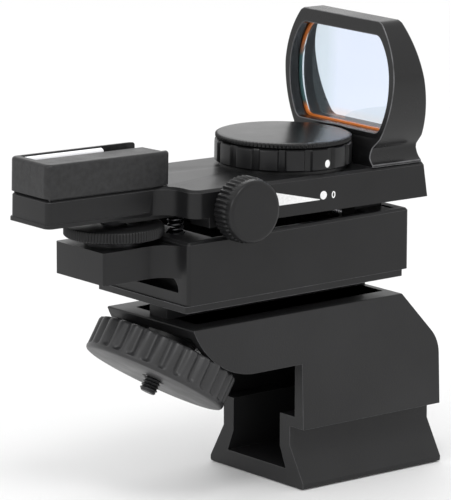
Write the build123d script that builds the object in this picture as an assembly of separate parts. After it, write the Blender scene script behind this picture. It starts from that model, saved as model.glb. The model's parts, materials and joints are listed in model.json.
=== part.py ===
from build123d import *
from math import cos, radians, sin
import os

# Red dot finder for a telescope, in millimetres.
# X points forward to the sky, Y to the observer's left and Z up.
# The origin is the centre of the bottom face of the dovetail foot.
# The upper half (carriage, sight body, hood, knobs) is modelled level and then
# tipped as a whole about the hinge pin by REST_TILT, the angle it is stored at.

# Dovetail foot and housing
FOOT_REAR, FOOT_FRONT = -20.0, 19.4
FOOT_HALF, FOOT_LIP, NECK_HALF, NECK_LOW = 16.0, 1.2, 11.4, 9.05
HOUSING_LOW, HOUSING_TOP, HOUSING_FRONT = 13.3, 39.3, 19.0
HOUSING_HALF_LOW, HOUSING_HALF_TOP = 16.0, 15.0
HOUSING_REAR, SLANT_TOP, SLANT_TURN = -49.3, 8.5, 27.64
WING_LOW, WING_BEND = 27.8, -34.0
ROOF_LOW, ROOF_PAD_LOW, CAVITY_HALF, WINDOW_HALF = 37.0, 35.7, 13.0, 10.4
SOFT_EDGE = 0.3

# Clamp screw, leaning back and down under the platform
CLAMP_LEAN = 58.0
CLAMP_DIR = Vector(-cos(radians(CLAMP_LEAN)), 0, -sin(radians(CLAMP_LEAN)))
CLAMP_FACE = Vector(-48.4, 0, 25.9)
CLAMP_THICK, CLAMP_RADIUS, CLAMP_FLUTES = 6.7, 16.0, 28
STUD_RADIUS, STUD_OUT, SHAFT_GAP = 2.0, 3.1, 0.05

# Bracket block and what carries it
RAIL_REAR, RAIL_FRONT, RAIL_HALF = -47.0, 8.2, 3.0
PLATE_REAR, PLATE_FRONT, PLATE_HALF, PLATE_LOW, PLATE_TOP = -51.5, 8.4, 15.3, 43.3, 44.8
BLOCK_REAR, BLOCK_FRONT, BLOCK_HALF, BLOCK_TOP, BLOCK_BEVEL = -51.0, 9.9, 15.4, 58.3, 0.5
BLOCK_FLOOR, BLOCK_INSIDE, BRIDGE_FRONT = 47.2, 13.3, -43.0
TONGUE_REAR, TONGUE_HALF, TONGUE_LOW, TONGUE_TOP = -67.8, 8.4, 50.3, 57.2
SCREW_RADIUS, SCREW_HEAD_RADIUS, SCREW_HEAD = 1.5, 2.75, 1.8
RAIL_SCREWS = (-33.5, -23.0)
BLOCK_SCREWS = (-30.0, -8.0)
SPRING_X, SPRING_Y, SPRING_LOW, SPRING_TOP = -45.9, 4.5, 54.0, 61.95
SPRING_RADIUS, SPRING_WIRE, SPRING_TURNS = 1.5, 0.3, 7

# Elevation wheel and its screw
WHEEL_X, WHEEL_RADIUS, WHEEL_LOW, WHEEL_TOP, WHEEL_RIBS = -58.8, 10.6, 58.7, 61.2, 90
HUB_RADIUS, HUB_LOW, ELEVATION_SCREW_RADIUS = 4.5, 51.3, 2.5

# Tilt hinge
PIN_X, PIN_Z, PIN_RADIUS, REST_TILT = 3.0, 56.0, 1.5, 1.2
TRAY_LOW, TRAY_TOP, TAIL_LOW = 60.2, 61.9, 61.1

# Sight body, level
BODY_REAR, BODY_TOP_FRONT, BODY_LOW_FRONT, BODY_HALF = -49.6, 14.0, 15.4, 15.0
BODY_TOP, SKIRT_LOW, BODY_REAR_LOW, SKIRT_REAR = 68.0, 59.8, 62.0, -45.2
BODY_CEILING, BODY_WALL_HALF, SKIRT_LOW_FRONT = 66.0, 13.0, 60.3
BOX_REAR, BOX_FRONT, BOX_HALF, BOX_PARTING, BOX_TOP = -81.2, -49.2, 6.9, 68.25, 75.4
BOX_LOWER_HALF, BOX_LIP, TRAY_LIP_HALF = 6.7, 0.9, 5.7
TRAY_FLOOR_FAR, TRAY_FLOOR_NEAR = 73.2, 74.7
COVER_SCREW_X, COVER_SCREW_Y, COVER_SCREW_Z = -51.6, 2.9, 63.2
LEAD_Y, LEAD_Z, LEAD_RADIUS = 4.25, 65.65, 0.3
EMITTER_Z, EMITTER_RADIUS = 70.7, 1.0

# Knobs on the sight body, level
SIDE_KNOB_X, SIDE_KNOB_Z, SIDE_KNOB_RADIUS = -38.6, 63.7, 6.9
SIDE_KNOB_BACK, SIDE_KNOB_FACE, SIDE_KNOB_RIBS = -16.5, -22.2, 36
SIDE_SCREW_RADIUS = 1.6
POST_HALF_X, POST_HALF_Y, POST_SCREW_RADIUS = 4.0, 2.0, 0.8
POST_SCREWS = (SIDE_KNOB_X - 3.0, SIDE_KNOB_X + 3.0)
DIAL_X, DIAL_RADIUS, DIAL_LOW, DIAL_TOP, DIAL_LOBES = -13.2, 14.9, 68.75, 73.65, 16
CAP_RADIUS, CAP_LOW, CAP_TOP = 14.66, 73.75, 75.0
CELL_RADIUS, CELL_LOW, CELL_HEIGHT = 10.0, 70.3, 3.2

# Lens hood, level: half width against height, foot to crown, then its side view
FLANGE_HALF, FLANGE_TOP, COVE_MIDDLE = 14.8, 68.6, (13.6, 69.9)
WAIST, HOOD_LOW_ARC, HOOD_WIDEST = (13.2, 72.0), (16.9, 79.0), (18.3, 86.8)
HOOD_HIGH_ARC, HOOD_SHOULDER, HOOD_TOP = (17.0, 93.1), (13.6, 98.9), 99.4
HOOD_REAR = [(-0.4, 68.0), (-0.2, 70.0), (1.7, 74.0), (2.3, 99.4)]
HOOD_FRONT = [(7.9, 99.4), (13.8, 74.0), (13.4, 71.2), (13.6, 68.0)]
WINDOW_SILL, WINDOW_LOW_ARC, WINDOW_WIDEST = (13.5, 75.2), (15.7, 80.0), (16.5, 86.4)
WINDOW_HIGH_ARC, WINDOW_CROWN = (15.4, 92.0), (12.6, 96.3)
LENS_REAR, LENS_THICK, LENS_LAP = 5.2, 2.0, 0.6
HOOD_SCREW_X, HOOD_SCREW_Y = 7.0, 9.5


def block(x0, x1, y0, y1, z0, z1):
    """A box between two corners."""
    return Pos((x0 + x1) / 2, (y0 + y1) / 2, (z0 + z1) / 2) * Box(x1 - x0, y1 - y0, z1 - z0)


def rod(start, direction, radius, length):
    """A round bar from a start point along a direction."""
    return extrude(Plane(origin=start, z_dir=direction) * Circle(radius), length)


def tube(start, direction, radius, bore, length):
    """A round bar with a through bore."""
    return rod(start, direction, radius, length) - rod(start, direction, bore, length)


def turned(start, direction, outline):
    """A turned solid: the outline is (radius, height) points, the height measured along direction."""
    profile = make_face(Polyline(*[(radius, 0, height) for radius, height in outline], close=True))
    return Plane(origin=start, x_dir=(0, 1, 0), z_dir=direction) * revolve(profile, Axis.Z)


def side_prism(outline, half):
    """An XZ outline given as points, as wide as plus and minus half in Y."""
    face = make_face(Polyline(*[(x, 0, z) for x, z in outline], close=True))
    return extrude(face, half, dir=(0, 1, 0), both=True)


def cross_prism(outline, x0, x1):
    """A YZ outline extruded from x0 to x1."""
    face = make_face(Polyline(*[(x0, y, z) for y, z in outline], close=True))
    return extrude(face, x1 - x0, dir=(1, 0, 0))


def mirrored(half_outline):
    """A closed YZ outline from its +Y half, listed upwards."""
    return half_outline + [(-y, z) for y, z in reversed(half_outline)]


def edges_along(shape, axis, test):
    """Straight edges along an axis whose centre passes a test."""
    return [edge for edge in shape.edges().filter_by(axis) if test(edge.center())]


def near(value, target):
    return abs(value - target) < 0.05


def tipped(shape):
    """The level upper half tipped to its stored angle about the hinge pin."""
    return shape.rotate(Axis((PIN_X, 0, PIN_Z), (0, 1, 0)), REST_TILT)


def screw(head_point, direction, length, radius=SCREW_RADIUS, head_radius=SCREW_HEAD_RADIUS):
    """A pan-head screw: head_point is the underside of the head, the shank runs along direction."""
    direction = Vector(*direction)
    body = rod(head_point, direction, radius, length)
    head = rod(head_point, -direction, head_radius, SCREW_HEAD)
    socket_start = Vector(*head_point) - direction * SCREW_HEAD
    socket = extrude(Plane(origin=socket_start, z_dir=direction) * RegularPolygon(1.3, 6), 1.1)
    return body + head - socket


# ---------------------------------------------------------------- fixed frame
def wing_outline():
    """The housing seen from the side: flat top, slanted nose, curved rear underside."""
    edge = [
        Line((HOUSING_FRONT, 0, HOUSING_LOW), (HOUSING_FRONT, 0, SLANT_TURN)),
        Line((HOUSING_FRONT, 0, SLANT_TURN), (SLANT_TOP, 0, HOUSING_TOP)),
        Line((SLANT_TOP, 0, HOUSING_TOP), (HOUSING_REAR, 0, HOUSING_TOP)),
        ThreePointArc((HOUSING_REAR, 0, HOUSING_TOP), (-43.2, 0, 31.3), (WING_BEND, 0, WING_LOW)),
        Line((WING_BEND, 0, WING_LOW), (FOOT_REAR, 0, WING_LOW)),
        Line((FOOT_REAR, 0, WING_LOW), (FOOT_REAR, 0, HOUSING_LOW)),
        Line((FOOT_REAR, 0, HOUSING_LOW), (HOUSING_FRONT, 0, HOUSING_LOW)),
    ]
    return extrude(make_face(edge), 20, dir=(0, 1, 0), both=True)


def clamp_point(inward):
    """A point on the clamp axis, measured inward from the knob's inner face."""
    return CLAMP_FACE - CLAMP_DIR * (CLAMP_THICK + inward)


def dovetail_foot():
    foot = cross_prism(
        mirrored([(FOOT_HALF, 0), (FOOT_HALF, FOOT_LIP), (NECK_HALF, NECK_LOW), (NECK_HALF, 14.0)]),
        FOOT_REAR, FOOT_FRONT)
    foot = fillet(edges_along(foot, Axis.X, lambda c: abs(c.Y) > FOOT_HALF - 0.1), 0.5)
    sides = cross_prism(
        mirrored([(HOUSING_HALF_LOW, HOUSING_LOW), (HOUSING_HALF_TOP, HOUSING_TOP)]), -60, 30)
    outside = wing_outline()
    housing = outside & sides
    turn = [e for e in housing.edges() if near(e.center().X, HOUSING_FRONT) and near(e.center().Z, SLANT_TURN)
            and e.bounding_box().size.Y > 20]
    housing = fillet(turn, 8.0)
    rim = [e for e in housing.edges() if near(e.center().Z, HOUSING_TOP)]
    housing = fillet(rim, SOFT_EDGE)
    roof_slope = [(16.0, 3.6), (16.0, 26.5), (6.5, ROOF_LOW), (-60.0, ROOF_LOW), (-60.0, 3.6)]
    hollow = cross_prism(
        mirrored([(10.0, 3.6), (8.0, 8.4), (8.0, 15.7), (CAVITY_HALF, 15.7), (CAVITY_HALF, ROOF_LOW)]), -60, 20)
    hollow &= side_prism(roof_slope, 20)
    shape = foot + housing - hollow
    pad = block(-46.0, FOOT_REAR - 0.5, -CAVITY_HALF - 0.3, CAVITY_HALF + 0.3, ROOF_PAD_LOW, ROOF_LOW + 0.2)
    wall_plane = Plane(origin=clamp_point(3.0), x_dir=(0, 1, 0), z_dir=-CLAMP_DIR)
    bulkhead = extrude(wall_plane * Rectangle(2 * CAVITY_HALF + 0.6, 44), 3.0)
    bulkhead &= block(-60, -30.5, -20, 20, 20, ROOF_LOW + 0.2)
    boss = rod(clamp_point(1.0), -CLAMP_DIR, 5.5, 2.5)
    shape += (pad + bulkhead) & outside
    shape += boss
    shape -= block(-19.5, 7.0, -WINDOW_HALF, WINDOW_HALF, 34.0, 41.0)
    shape -= block(-45.0, -26.0, -WINDOW_HALF, WINDOW_HALF, 38.0, 41.0)
    shape -= rod(clamp_point(-1), -CLAMP_DIR, STUD_RADIUS, 6.5)
    for x in RAIL_SCREWS:
        shape -= rod((x, 0, 30), (0, 0, 1), SCREW_RADIUS, 12)
    return shape


def riser_rail():
    rail = block(RAIL_REAR, RAIL_FRONT, -RAIL_HALF, RAIL_HALF, HOUSING_TOP, PLATE_LOW)
    for x in RAIL_SCREWS:
        rail -= rod((x, 0, 38), (0, 0, 1), SCREW_RADIUS, 4.6)
    for x in BLOCK_SCREWS:
        rail -= rod((x, 0, PLATE_TOP), (0, 0, -1), SCREW_RADIUS, 4.9)
    return rail


def base_plate():
    plate = block(PLATE_REAR, PLATE_FRONT, -PLATE_HALF, PLATE_HALF, PLATE_LOW, PLATE_TOP)
    plate = fillet(plate.edges().filter_by(Axis.Z), 0.5)
    for x in BLOCK_SCREWS:
        plate -= rod((x, 0, 40), (0, 0, 1), SCREW_RADIUS, 10)
    return plate


def bracket_block():
    shell = block(BLOCK_REAR, BLOCK_FRONT, -BLOCK_HALF, BLOCK_HALF, PLATE_TOP, BLOCK_TOP)
    shell = fillet(shell.edges().filter_by(Axis.Z), 0.8)
    tongue = block(TONGUE_REAR, BLOCK_REAR + 1, -TONGUE_HALF, TONGUE_HALF, TONGUE_LOW, TONGUE_TOP)
    tongue = fillet(edges_along(tongue, Axis.Z, lambda c: near(c.X, TONGUE_REAR)), 0.5)
    shell += tongue
    inner_corner = edges_along(
        shell, Axis.Z, lambda c: near(c.X, BLOCK_REAR) and near(abs(c.Y), TONGUE_HALF))
    shell = fillet(inner_corner, 5.0)
    rim = [e for e in shell.edges() if near(e.center().Z, BLOCK_TOP)]
    shell = chamfer(rim, BLOCK_BEVEL)
    shell -= block(BRIDGE_FRONT, BLOCK_FRONT - 2.5, -BLOCK_INSIDE, BLOCK_INSIDE, BLOCK_FLOOR, 60)
    arch = block(-60, BRIDGE_FRONT + 1, -12.0, 12.0, BLOCK_FLOOR, TONGUE_LOW)
    arch = fillet(edges_along(arch, Axis.X, lambda c: c.Z > TONGUE_LOW - 0.1), 2.8)
    shell -= arch
    ear = rod((PIN_X, 10.0, PIN_Z), (0, 1, 0), 4.0, 3.6)
    ear += block(PIN_X - 4.0, PIN_X + 4.0, 10.0, 13.6, BLOCK_FLOOR, PIN_Z)
    ear &= block(-10, 20, 0, 20, 40, BLOCK_TOP)
    shell += ear + mirror(ear, Plane.XZ)
    shell -= rod((PIN_X, -BLOCK_INSIDE, PIN_Z), (0, 1, 0), PIN_RADIUS, 2 * BLOCK_INSIDE)
    shell -= rod((WHEEL_X, 0, 45), (0, 0, 1), HUB_RADIUS + SHAFT_GAP, 20)
    shell -= rod((WHEEL_X, 0, 45), (0, 0, 1), 6.3, 7.2)
    for y in (-SPRING_Y, SPRING_Y):
        shell -= rod((SPRING_X, y, SPRING_LOW), (0, 0, 1), SPRING_RADIUS + SPRING_WIRE + 0.3, 10)
    for x in BLOCK_SCREWS:
        shell -= rod((x, 0, 40), (0, 0, 1), SCREW_RADIUS, 10)
    return shell


def return_springs():
    """Two compression springs that take up the play of the elevation screw."""
    height = SPRING_TOP - SPRING_LOW - 2 * SPRING_WIRE
    path = Helix(height / SPRING_TURNS, height, SPRING_RADIUS)
    start = Plane(origin=path @ 0, z_dir=path % 0)
    coil = sweep(start * Circle(SPRING_WIRE), path=path, is_frenet=True)
    return Compound([Pos(SPRING_X, y, SPRING_LOW + SPRING_WIRE) * coil for y in (-SPRING_Y, SPRING_Y)])


def hinge_pin():
    return rod((PIN_X, -BLOCK_INSIDE, PIN_Z), (0, 1, 0), PIN_RADIUS, 2 * BLOCK_INSIDE)


def clamp_stud():
    length = 5.5 + CLAMP_THICK + STUD_OUT
    stud = rod(clamp_point(5.5), CLAMP_DIR, STUD_RADIUS, length)
    tip = stud.edges().filter_by(GeomType.CIRCLE).sort_by(Axis.Z)[0]
    return chamfer(tip, 0.4)


def rail_screws():
    return Compound([screw((x, 0, ROOF_PAD_LOW), (0, 0, 1), 6.5) for x in RAIL_SCREWS])


def block_screws():
    return Compound([screw((x, 0, BLOCK_FLOOR), (0, 0, -1), 6.6) for x in BLOCK_SCREWS])


# ------------------------------------------------------------------ clamp knob
def clamp_washer():
    return tube(clamp_point(1.0), CLAMP_DIR, 5.5, STUD_RADIUS + SHAFT_GAP, 1.0)


def clamp_knob():
    inner = clamp_point(0)
    rim, edge = 0.8, 1.0
    outline = [
        (STUD_RADIUS + 0.3, 5.0), (4.0, 5.0), (4.0, 0), (6.4, 0), (6.4, 3.0), (13.2, 3.0), (13.2, 0),
        (CLAMP_RADIUS - rim, 0), (CLAMP_RADIUS, rim), (CLAMP_RADIUS, CLAMP_THICK - edge),
        (CLAMP_RADIUS - 0.3 * edge, CLAMP_THICK - 0.3 * edge), (CLAMP_RADIUS - edge, CLAMP_THICK),
        (STUD_RADIUS + 0.3, CLAMP_THICK)]
    knob = turned(inner, CLAMP_DIR, outline)
    face = Plane(origin=inner, x_dir=(0, 1, 0), z_dir=CLAMP_DIR)
    flute = face * Pos(CLAMP_RADIUS + 0.9, 0, 0) * Cylinder(1.6, 2 * (CLAMP_THICK - 1.8))
    turn = Axis(inner, CLAMP_DIR)
    return knob - Compound([flute.rotate(turn, 360 * i / CLAMP_FLUTES) for i in range(CLAMP_FLUTES)])


def clamp_insert():
    """The threaded brass bush pressed into the clamp knob from inside."""
    return tube(clamp_point(0), CLAMP_DIR, 4.0, STUD_RADIUS + SHAFT_GAP, 5.0)


# ------------------------------------------------------------- elevation wheel
def elevation_wheel():
    wheel = rod((WHEEL_X, 0, WHEEL_LOW), (0, 0, 1), WHEEL_RADIUS, WHEEL_TOP - WHEEL_LOW)
    wheel = chamfer(wheel.edges().filter_by(GeomType.CIRCLE), 0.3)
    rib_groove = Pos(WHEEL_X + WHEEL_RADIUS, 0, 0) * extrude(
        Plane.XY.offset(WHEEL_LOW + 0.8) * Rectangle(0.5, 0.3), 2)
    axis = Axis((WHEEL_X, 0, 0), (0, 0, 1))
    wheel -= Compound([rib_groove.rotate(axis, 360 * i / WHEEL_RIBS) for i in range(WHEEL_RIBS)])
    wheel += rod((WHEEL_X, 0, TONGUE_TOP + 0.8), (0, 0, 1), 6.5, 1.0)
    wheel += rod((WHEEL_X, 0, HUB_LOW), (0, 0, 1), HUB_RADIUS, 8.0)
    wheel -= rod((WHEEL_X, 0, HUB_LOW), (0, 0, 1), 3.2, WHEEL_LOW - HUB_LOW)
    wheel -= rod((WHEEL_X, 0, 50), (0, 0, 1), ELEVATION_SCREW_RADIUS + 0.38, 20)
    return wheel


def wheel_washer():
    return tube((WHEEL_X, 0, TONGUE_TOP), (0, 0, 1), 6.3, HUB_RADIUS + SHAFT_GAP, 0.75)


def wheel_clip():
    """Retaining ring pressed on the wheel's hub under the tongue."""
    ring = tube((WHEEL_X, 0, HUB_LOW), (0, 0, 1), 6.0, HUB_RADIUS, 0.7)
    return ring - block(WHEEL_X - 7, WHEEL_X, -1.2, 1.2, 50, 53)


# --------------------------------------------------- carriage, modelled level
def tilt_carriage():
    tray = block(-42.2, 9.0, -10.6, 10.6, TRAY_LOW, TRAY_TOP)
    tray += block(-61.8, -42.0, -6.3, 6.3, TAIL_LOW, TRAY_TOP)
    tray = fillet(edges_along(tray, Axis.Z, lambda c: near(c.X, -61.8)), 2.0)
    lug = rod((PIN_X, 5.5, PIN_Z), (0, 1, 0), 3.8, 4.2)
    lug += block(PIN_X - 3.8, PIN_X + 3.8, 5.5, 9.7, PIN_Z, TRAY_LOW + 0.2)
    tray += lug + mirror(lug, Plane.XZ)
    tray -= rod((PIN_X, -12, PIN_Z), (0, 1, 0), PIN_RADIUS + SHAFT_GAP, 24)
    tray -= rod((PIN_X, 0, 50), (0, 0, 1), 2.0, 20)
    tray -= rod((WHEEL_X, 0, 50), (0, 0, 1), ELEVATION_SCREW_RADIUS - 0.5, 20)
    for x in POST_SCREWS:
        tray -= rod((x, 0, 55), (0, 0, 1), POST_SCREW_RADIUS, 10)
    return tray


def elevation_screw():
    """Screw riveted into the carriage's tail, hanging through the wheel."""
    stem = rod((WHEEL_X, 0, 51.5), (0, 0, 1), ELEVATION_SCREW_RADIUS, TAIL_LOW - 51.5)
    return stem + rod((WHEEL_X, 0, TAIL_LOW), (0, 0, 1), ELEVATION_SCREW_RADIUS - 0.5, TRAY_TOP - TAIL_LOW)


def azimuth_pin():
    """Upright pivot pressed into the carriage, with a groove for its clip."""
    return rod((PIN_X, 0, TRAY_LOW - 1.2), (0, 0, 1), 2.0, 65.2 - TRAY_LOW + 1.2)


def azimuth_post():
    """Upright post that the windage screw works in."""
    post = block(SIDE_KNOB_X - POST_HALF_X, SIDE_KNOB_X + POST_HALF_X,
                 -POST_HALF_Y, POST_HALF_Y, TRAY_TOP, 65.8)
    post = fillet(edges_along(post, Axis.Y, lambda c: c.Z > 65), 1.0)
    post -= rod((SIDE_KNOB_X, -5, SIDE_KNOB_Z), (0, 1, 0), SIDE_SCREW_RADIUS + 0.25, 10)
    for x in POST_SCREWS:
        post -= rod((x, 0, 60), (0, 0, 1), POST_SCREW_RADIUS, 4.5)
    return post


def post_screws():
    return Compound([small_screw((x, 0, TRAY_LOW), 4.2, POST_SCREW_RADIUS, 1.5, 0.8) for x in POST_SCREWS])


# ------------------------------------------------- sight body, modelled level
def body_outside():
    wide = side_prism(
        [(BODY_LOW_FRONT, SKIRT_LOW_FRONT), (BODY_TOP_FRONT, BODY_TOP), (BODY_REAR, BODY_TOP),
         (BODY_REAR, BODY_REAR_LOW), (SKIRT_REAR, BODY_REAR_LOW), (SKIRT_REAR, SKIRT_LOW)], BODY_HALF)
    wide = fillet(edges_along(wide, Axis.Z, lambda c: near(c.X, BODY_REAR)), 2.6)
    neck = block(BOX_REAR + 0.2, BODY_REAR + 3, -BOX_LOWER_HALF, BOX_LOWER_HALF, BODY_REAR_LOW, BODY_TOP)
    neck = fillet(edges_along(neck, Axis.Z, lambda c: c.X < -70), 1.3)
    shape = wide + neck
    root = edges_along(shape, Axis.Z, lambda c: near(c.X, BODY_REAR) and near(abs(c.Y), BOX_LOWER_HALF))
    shape = fillet(root, 4.2)
    lip = block(BOX_REAR - 0.1, -54.5, -BOX_HALF - 0.1, BOX_HALF + 0.1, BODY_REAR_LOW, BODY_REAR_LOW + BOX_LIP)
    lip = fillet(edges_along(lip, Axis.Z, lambda c: c.X < -70), 1.4)
    return shape + fillet([e for e in lip.edges() if near(e.center().Z, BODY_REAR_LOW + BOX_LIP)], SOFT_EDGE)


def sight_body():
    shape = body_outside()
    rim = [e for e in shape.edges() if near(e.center().Z, BODY_TOP) and e.center().X > BODY_REAR - 6]
    shape = chamfer([e for e in rim if abs(e.center().Y) > 10], 0.6)
    shape += block(BOX_REAR + 0.9, BOX_FRONT - 1.6,
                   -BOX_LOWER_HALF + 0.5, BOX_LOWER_HALF - 0.5, 67, BOX_PARTING)
    shape -= block(-43.0, 12.3, -BODY_WALL_HALF, BODY_WALL_HALF, 55, BODY_CEILING)
    shape -= block(-46.5, -42.0, -8.6, 8.6, 55, BODY_REAR_LOW)
    shape -= block(BOX_REAR + 3.0, -53.5, -4.6, 4.6, BODY_REAR_LOW + 1.4, 80)
    shape -= rod((-54, LEAD_Y, LEAD_Z), (1, 0, 0), LEAD_RADIUS + 0.1, 12)
    boss = rod((PIN_X, 0, TRAY_TOP + 0.15), (0, 0, 1), 5.0, 64.0 - TRAY_TOP - 0.15)
    web = block(PIN_X - 1.2, PIN_X + 1.2, -BODY_WALL_HALF - 0.5, BODY_WALL_HALF + 0.5,
                TRAY_TOP + 0.15, BODY_CEILING + 0.2)
    web -= rod((PIN_X, 0, 60), (0, 0, 1), 4.9, 10)
    shape += boss + web
    shape -= rod((PIN_X, 0, 50), (0, 0, 1), 2.0 + SHAFT_GAP, 14.5)
    shape -= rod((SIDE_KNOB_X, -20, SIDE_KNOB_Z), (0, 1, 0), SIDE_SCREW_RADIUS + SHAFT_GAP, 34.5)
    shape -= rod((DIAL_X, 0, 60), (0, 0, 1), 4.0, 10)
    for y in (-HOOD_SCREW_Y, HOOD_SCREW_Y):
        shape -= rod((HOOD_SCREW_X, y, 60), (0, 0, 1), 1.2, 10)
    for y in (-COVER_SCREW_Y, COVER_SCREW_Y):
        shape -= rod((COVER_SCREW_X, y, 60), (0, 0, 1), 0.9, 10)
        shape -= rod((COVER_SCREW_X, y, 60), (0, 0, 1), 1.6, COVER_SCREW_Z - 60)
    return shape


def small_screw(head_point, length, radius, head_radius, head):
    """A screw pointing up: the head's top face carries the part."""
    x, y, z = head_point
    return rod((x, y, z - head), (0, 0, 1), head_radius, head) + rod((x, y, z), (0, 0, 1), radius, length)


def hood_screws():
    return Compound([
        small_screw((HOOD_SCREW_X, y, BODY_CEILING), 5.5, 1.2, 2.2, 1.0)
        for y in (-HOOD_SCREW_Y, HOOD_SCREW_Y)])


def pivot_clip():
    return tube((PIN_X, 0, 64.05), (0, 0, 1), 3.6, 2.0, 0.7)


def emitter_cover():
    """The rubber-coated upper half of the emitter box, with its shallow tray."""
    shape = block(BOX_REAR, BOX_FRONT, -BOX_HALF, BOX_HALF, BOX_PARTING, BOX_TOP)
    shape = fillet(edges_along(shape, Axis.Z, lambda c: True), 1.6)
    crown = [e for e in shape.edges() if near(e.center().Z, BOX_TOP)]
    shape = fillet(crown, 0.7)
    tray = cross_prism(
        [(TRAY_LIP_HALF, 80), (TRAY_LIP_HALF, TRAY_FLOOR_FAR),
         (-BOX_HALF, TRAY_FLOOR_NEAR + 0.1), (-BOX_HALF, 80)],
        BOX_REAR + 1.9, -40)
    near_rim = tray & block(-90, -40, -10, -TRAY_LIP_HALF, 70, 80)
    shape -= tray - near_rim
    shape -= block(BOX_REAR + 3.0, -53.5, -4.6, 4.6, BOX_PARTING - 1, 71.95)
    shape -= rod((-54, 0, EMITTER_Z), (1, 0, 0), EMITTER_RADIUS + 0.1, 6)
    for y in (-COVER_SCREW_Y, COVER_SCREW_Y):
        shape -= rod((COVER_SCREW_X, y, 60), (0, 0, 1), 0.9, 11.2)
    return shape


def cover_screws():
    return Compound([
        small_screw((COVER_SCREW_X, y, COVER_SCREW_Z), 8.0, 0.9, 1.5, 0.9)
        for y in (-COVER_SCREW_Y, COVER_SCREW_Y)])


def emitter_window():
    """The clear strip along the low side of the tray."""
    slope = (TRAY_FLOOR_NEAR + 0.1 - TRAY_FLOOR_FAR) / (BOX_HALF + TRAY_LIP_HALF)
    outline = [(TRAY_LIP_HALF - 0.05, TRAY_FLOOR_FAR + 0.05), (TRAY_LIP_HALF - 0.05, TRAY_FLOOR_FAR + 0.55),
               (3.4, TRAY_FLOOR_FAR + 0.45 + slope * (TRAY_LIP_HALF - 3.4)),
               (3.4, TRAY_FLOOR_FAR + 0.05 + slope * (TRAY_LIP_HALF - 3.4))]
    pane = cross_prism(outline, BOX_REAR + 2.0, -59.0)
    return pane


def led_emitter():
    """The red diode: a domed body that looks forward at the lens."""
    case = rod((-56.0, 0, EMITTER_Z), (1, 0, 0), EMITTER_RADIUS, 3.6)
    dome = Pos(-52.4, 0, EMITTER_Z) * Sphere(EMITTER_RADIUS)
    return case + dome


def led_board():
    return block(-57.0, -56.0, -4.4, 4.4, 63.6, 71.8)


def led_lead():
    """The insulated lead from the emitter board to the dial's contacts."""
    return rod((-56.0, LEAD_Y, LEAD_Z), (1, 0, 0), LEAD_RADIUS, 38.0)


def symmetric_face(half_edges, x0):
    """A closed YZ face from the edges of its +Y half, which run from the base line to the crown line."""
    low, high = half_edges[0] @ 0, half_edges[-1] @ 1
    other = [mirror(edge, Plane.XZ) for edge in half_edges]
    ends = [Line((x0, -low.Y, low.Z), low), Line(high, (x0, -high.Y, high.Z))]
    return make_face(half_edges + other + ends)


def window_edges(x0, grow):
    """The +Y half of the window's outline, grown sideways and up and down by the same amount."""
    sill, low_arc, widest, high_arc, crown = [
        (x0, y + grow, z + rise) for (y, z), rise in zip(
            (WINDOW_SILL, WINDOW_LOW_ARC, WINDOW_WIDEST, WINDOW_HIGH_ARC, WINDOW_CROWN),
            (-grow, -grow / 2, 0, grow / 2, grow))]
    return [ThreePointArc(sill, low_arc, widest), ThreePointArc(widest, high_arc, crown)]


def window_prism(x0, x1, grow, corner):
    prism = extrude(symmetric_face(window_edges(x0, grow), x0), x1 - x0, dir=(1, 0, 0))
    corners = [e for e in prism.edges().filter_by(Axis.X) if not near(e.center().Z, WINDOW_WIDEST[1])]
    return fillet(corners, corner)


def lens_hood():
    x0 = -10.0
    at = [(x0, y, z) for y, z in (
        (FLANGE_HALF, BODY_TOP), (FLANGE_HALF, FLANGE_TOP), COVE_MIDDLE, WAIST, HOOD_LOW_ARC, HOOD_WIDEST,
        HOOD_HIGH_ARC, HOOD_SHOULDER, (HOOD_SHOULDER[0] - 1.0, HOOD_TOP))]
    side = [
        Line(at[0], at[1]), ThreePointArc(at[1], at[2], at[3]), ThreePointArc(at[3], at[4], at[5]),
        ThreePointArc(at[5], at[6], at[7]), Line(at[7], at[8])]
    width = extrude(symmetric_face(side, x0), 40, dir=(1, 0, 0))
    hood = width & side_prism(HOOD_REAR + HOOD_FRONT, 25)
    hood -= window_prism(-10.0, 30.0, 0, 2.2)
    hood -= window_prism(LENS_REAR, 30.0, LENS_LAP, 2.4)
    for y in (-HOOD_SCREW_Y, HOOD_SCREW_Y):
        hood -= rod((HOOD_SCREW_X, y, 60), (0, 0, 1), 1.2, 11.5)
    return hood - rod((DIAL_X, 0, BODY_TOP), (0, 0, 1), DIAL_RADIUS + 0.5, 9.0)


def reflex_lens():
    """The coated glass, seated from the front."""
    return window_prism(LENS_REAR + 0.05, LENS_REAR + LENS_THICK - 0.05, LENS_LAP - 0.05, 2.4)


def lens_gasket():
    """The thin sealing ring that frames the glass inside the window."""
    ring = window_prism(LENS_REAR - 0.6, LENS_REAR - 0.02, 0, 2.2)
    return ring - window_prism(-10.0, 30.0, -0.4, 2.0)


# ---------------------------------------------------------- windage adjuster
def azimuth_knob():
    length = SIDE_KNOB_BACK - SIDE_KNOB_FACE
    start = (SIDE_KNOB_X, SIDE_KNOB_BACK, SIDE_KNOB_Z)
    knob = rod(start, (0, -1, 0), SIDE_KNOB_RADIUS, length)
    knob = chamfer(knob.edges().filter_by(GeomType.CIRCLE).sort_by(Axis.Y)[0:1], 0.6)
    groove = Pos(SIDE_KNOB_X, 0, SIDE_KNOB_Z + SIDE_KNOB_RADIUS) * block(
        -0.16, 0.16, SIDE_KNOB_FACE + 2.2, SIDE_KNOB_BACK + 1, -0.3, 0.5)
    axis = Axis((SIDE_KNOB_X, 0, SIDE_KNOB_Z), (0, 1, 0))
    knob -= Compound([groove.rotate(axis, 360 * i / SIDE_KNOB_RIBS) for i in range(SIDE_KNOB_RIBS)])
    return knob - rod((SIDE_KNOB_X, SIDE_KNOB_FACE + 1.8, SIDE_KNOB_Z), (0, 1, 0), SIDE_SCREW_RADIUS, 10)


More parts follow.
